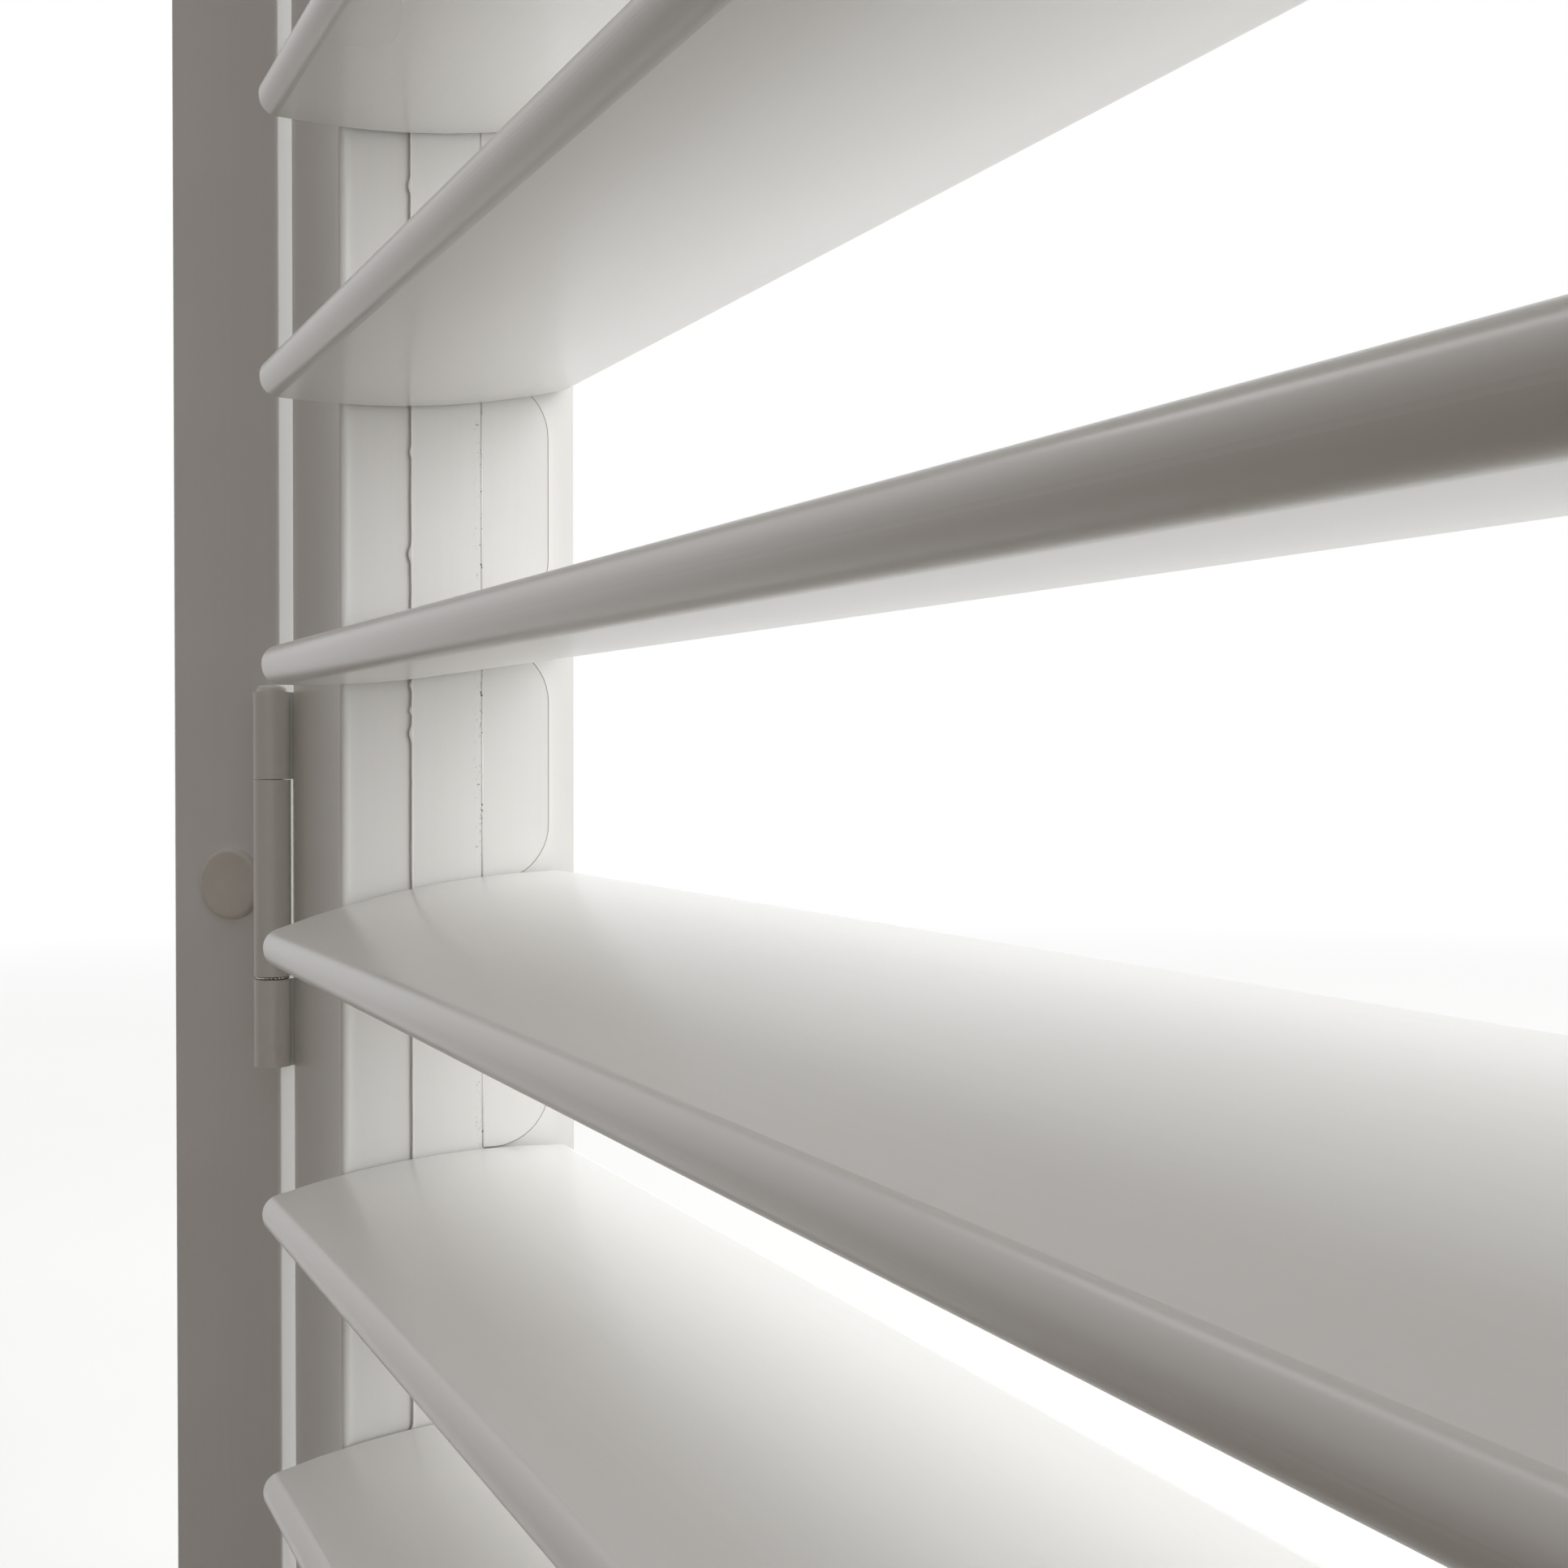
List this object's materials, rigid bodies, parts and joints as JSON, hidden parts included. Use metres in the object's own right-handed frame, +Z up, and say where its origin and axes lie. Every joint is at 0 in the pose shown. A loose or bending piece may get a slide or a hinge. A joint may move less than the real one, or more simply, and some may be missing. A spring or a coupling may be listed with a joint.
{
  "type": "louvred shutter in its frame",
  "caption": "Louvred shutter panel hinged in its own rebated frame, with louvres that tilt together through a rack and pinions hidden in the stile.",
  "frame": {"origin": "middle of the frame's underside, half way through its depth", "axes": "+X across the window to the strike side, +Y from the room towards the window, +Z up"},
  "size_m": [0.601, 0.4335, 0.8475],
  "materials": {
    "frame_lacquer": "satin white lacquer over wood",
    "panel_lacquer": "satin white lacquer over wood",
    "louvre_lacquer": "satin white lacquer over wood",
    "dowel_wood": "bare beech",
    "hinge_paint": "steel painted over in satin white",
    "screw_steel": "zinc plated, satin",
    "magnet_steel": "nickel plated, satin",
    "cap_plastic": "satin off-white",
    "gear_plastic": "moulded nylon, matt"
  },
  "bodies": {
    "frame": {"hinge_jamb": "frame_lacquer", "frame_head": "frame_lacquer", "strike_jamb": "frame_lacquer", "frame_sill": "frame_lacquer", "frame_leaf_lower": "hinge_paint", "frame_leaf_upper": "hinge_paint", "frame_leaf_screws": "screw_steel", "cover_caps": "cap_plastic", "catch_magnets": "magnet_steel"},
    "panel": {"hinge_stile_front": "panel_lacquer", "hinge_stile_back": "panel_lacquer", "strike_stile_front": "panel_lacquer", "strike_stile_back": "panel_lacquer", "top_rail": "panel_lacquer", "bottom_rail": "panel_lacquer", "rail_dowels": "dowel_wood", "rear_batten": "panel_lacquer", "stile_leaf_lower": "hinge_paint", "stile_leaf_upper": "hinge_paint", "stile_leaf_screws": "screw_steel", "hinge_pin_lower": "hinge_paint", "hinge_pin_upper": "hinge_paint", "strike_plates": "screw_steel", "strike_plate_screws": "screw_steel", "pivot_bushes": "gear_plastic"},
    "rack": {"tilt_rack": "gear_plastic"},
    "louvre_01_turning": {"louvre_01": "louvre_lacquer", "gear_pin_01": "gear_plastic", "plain_pin_01": "gear_plastic"},
    "louvre_02_turning": {"louvre_02": "louvre_lacquer", "gear_pin_02": "gear_plastic", "plain_pin_02": "gear_plastic"},
    "louvre_03_turning": {"louvre_03": "louvre_lacquer", "gear_pin_03": "gear_plastic", "plain_pin_03": "gear_plastic"},
    "louvre_04_turning": {"louvre_04": "louvre_lacquer", "gear_pin_04": "gear_plastic", "plain_pin_04": "gear_plastic"},
    "louvre_05_turning": {"louvre_05": "louvre_lacquer", "gear_pin_05": "gear_plastic", "plain_pin_05": "gear_plastic"},
    "louvre_06_turning": {"louvre_06": "louvre_lacquer", "gear_pin_06": "gear_plastic", "plain_pin_06": "gear_plastic"},
    "louvre_07_turning": {"louvre_07": "louvre_lacquer", "gear_pin_07": "gear_plastic", "plain_pin_07": "gear_plastic"},
    "louvre_08_turning": {"louvre_08": "louvre_lacquer", "gear_pin_08": "gear_plastic", "plain_pin_08": "gear_plastic"},
    "louvre_09_turning": {"louvre_09": "louvre_lacquer", "gear_pin_09": "gear_plastic", "plain_pin_09": "gear_plastic"},
    "louvre_10_turning": {"louvre_10": "louvre_lacquer", "gear_pin_10": "gear_plastic", "plain_pin_10": "gear_plastic"},
    "louvre_11_turning": {"louvre_11": "louvre_lacquer", "gear_pin_11": "gear_plastic", "plain_pin_11": "gear_plastic"}
  },
  "joints": [
    {"name": "panel_swing", "type": "hinge", "parent": "frame", "child": "panel", "pos_m": [-0.27125, -0.0293, 0.42375], "axis": [0, 0, 1], "range_deg": [-135, 45]},
    {"name": "louvre_tilt_01", "type": "hinge", "parent": "panel", "child": "louvre_01_turning", "pos_m": [-0.06485, -0.2065, 0.1525], "axis": [0.7071, -0.7071, 0], "range_deg": [-83, 68]},
    {"name": "louvre_tilt_02", "type": "hinge", "parent": "panel", "child": "louvre_02_turning", "pos_m": [-0.06485, -0.2065, 0.20675], "axis": [0.7071, -0.7071, 0], "range_deg": [-83, 68]},
    {"name": "louvre_tilt_03", "type": "hinge", "parent": "panel", "child": "louvre_03_turning", "pos_m": [-0.06485, -0.2065, 0.261], "axis": [0.7071, -0.7071, 0], "range_deg": [-83, 68]},
    {"name": "louvre_tilt_04", "type": "hinge", "parent": "panel", "child": "louvre_04_turning", "pos_m": [-0.06485, -0.2065, 0.31525], "axis": [0.7071, -0.7071, 0], "range_deg": [-83, 68]},
    {"name": "louvre_tilt_05", "type": "hinge", "parent": "panel", "child": "louvre_05_turning", "pos_m": [-0.06485, -0.2065, 0.3695], "axis": [0.7071, -0.7071, 0], "range_deg": [-83, 68]},
    {"name": "louvre_tilt_06", "type": "hinge", "parent": "panel", "child": "louvre_06_turning", "pos_m": [-0.06485, -0.2065, 0.42375], "axis": [0.7071, -0.7071, 0], "range_deg": [-83, 68]},
    {"name": "louvre_tilt_07", "type": "hinge", "parent": "panel", "child": "louvre_07_turning", "pos_m": [-0.06485, -0.2065, 0.478], "axis": [0.7071, -0.7071, 0], "range_deg": [-83, 68]},
    {"name": "louvre_tilt_08", "type": "hinge", "parent": "panel", "child": "louvre_08_turning", "pos_m": [-0.06485, -0.2065, 0.53225], "axis": [0.7071, -0.7071, 0], "range_deg": [-83, 68]},
    {"name": "louvre_tilt_09", "type": "hinge", "parent": "panel", "child": "louvre_09_turning", "pos_m": [-0.06485, -0.2065, 0.5865], "axis": [0.7071, -0.7071, 0], "range_deg": [-83, 68]},
    {"name": "louvre_tilt_10", "type": "hinge", "parent": "panel", "child": "louvre_10_turning", "pos_m": [-0.06485, -0.2065, 0.64075], "axis": [0.7071, -0.7071, 0], "range_deg": [-83, 68]},
    {"name": "louvre_tilt_11", "type": "hinge", "parent": "panel", "child": "louvre_11_turning", "pos_m": [-0.06485, -0.2065, 0.695], "axis": [0.7071, -0.7071, 0], "range_deg": [-83, 68]},
    {"name": "rack_slide", "type": "slide", "parent": "panel", "child": "rack", "axis": [0, 0, 1], "range_m": [-0.009, 0.009]}
  ],
  "couplings": [
    {"joint": "louvre_tilt_01", "follows": "louvre_tilt_06", "ratio": 1},
    {"joint": "louvre_tilt_02", "follows": "louvre_tilt_06", "ratio": 1},
    {"joint": "louvre_tilt_03", "follows": "louvre_tilt_06", "ratio": 1},
    {"joint": "louvre_tilt_04", "follows": "louvre_tilt_06", "ratio": 1},
    {"joint": "louvre_tilt_05", "follows": "louvre_tilt_06", "ratio": 1},
    {"joint": "louvre_tilt_07", "follows": "louvre_tilt_06", "ratio": 1},
    {"joint": "louvre_tilt_08", "follows": "louvre_tilt_06", "ratio": 1},
    {"joint": "louvre_tilt_09", "follows": "louvre_tilt_06", "ratio": 1},
    {"joint": "louvre_tilt_10", "follows": "louvre_tilt_06", "ratio": 1},
    {"joint": "louvre_tilt_11", "follows": "louvre_tilt_06", "ratio": 1},
    {"joint": "rack_slide", "follows": "louvre_tilt_06", "m_per_rad": 0.0060947}
  ]
}
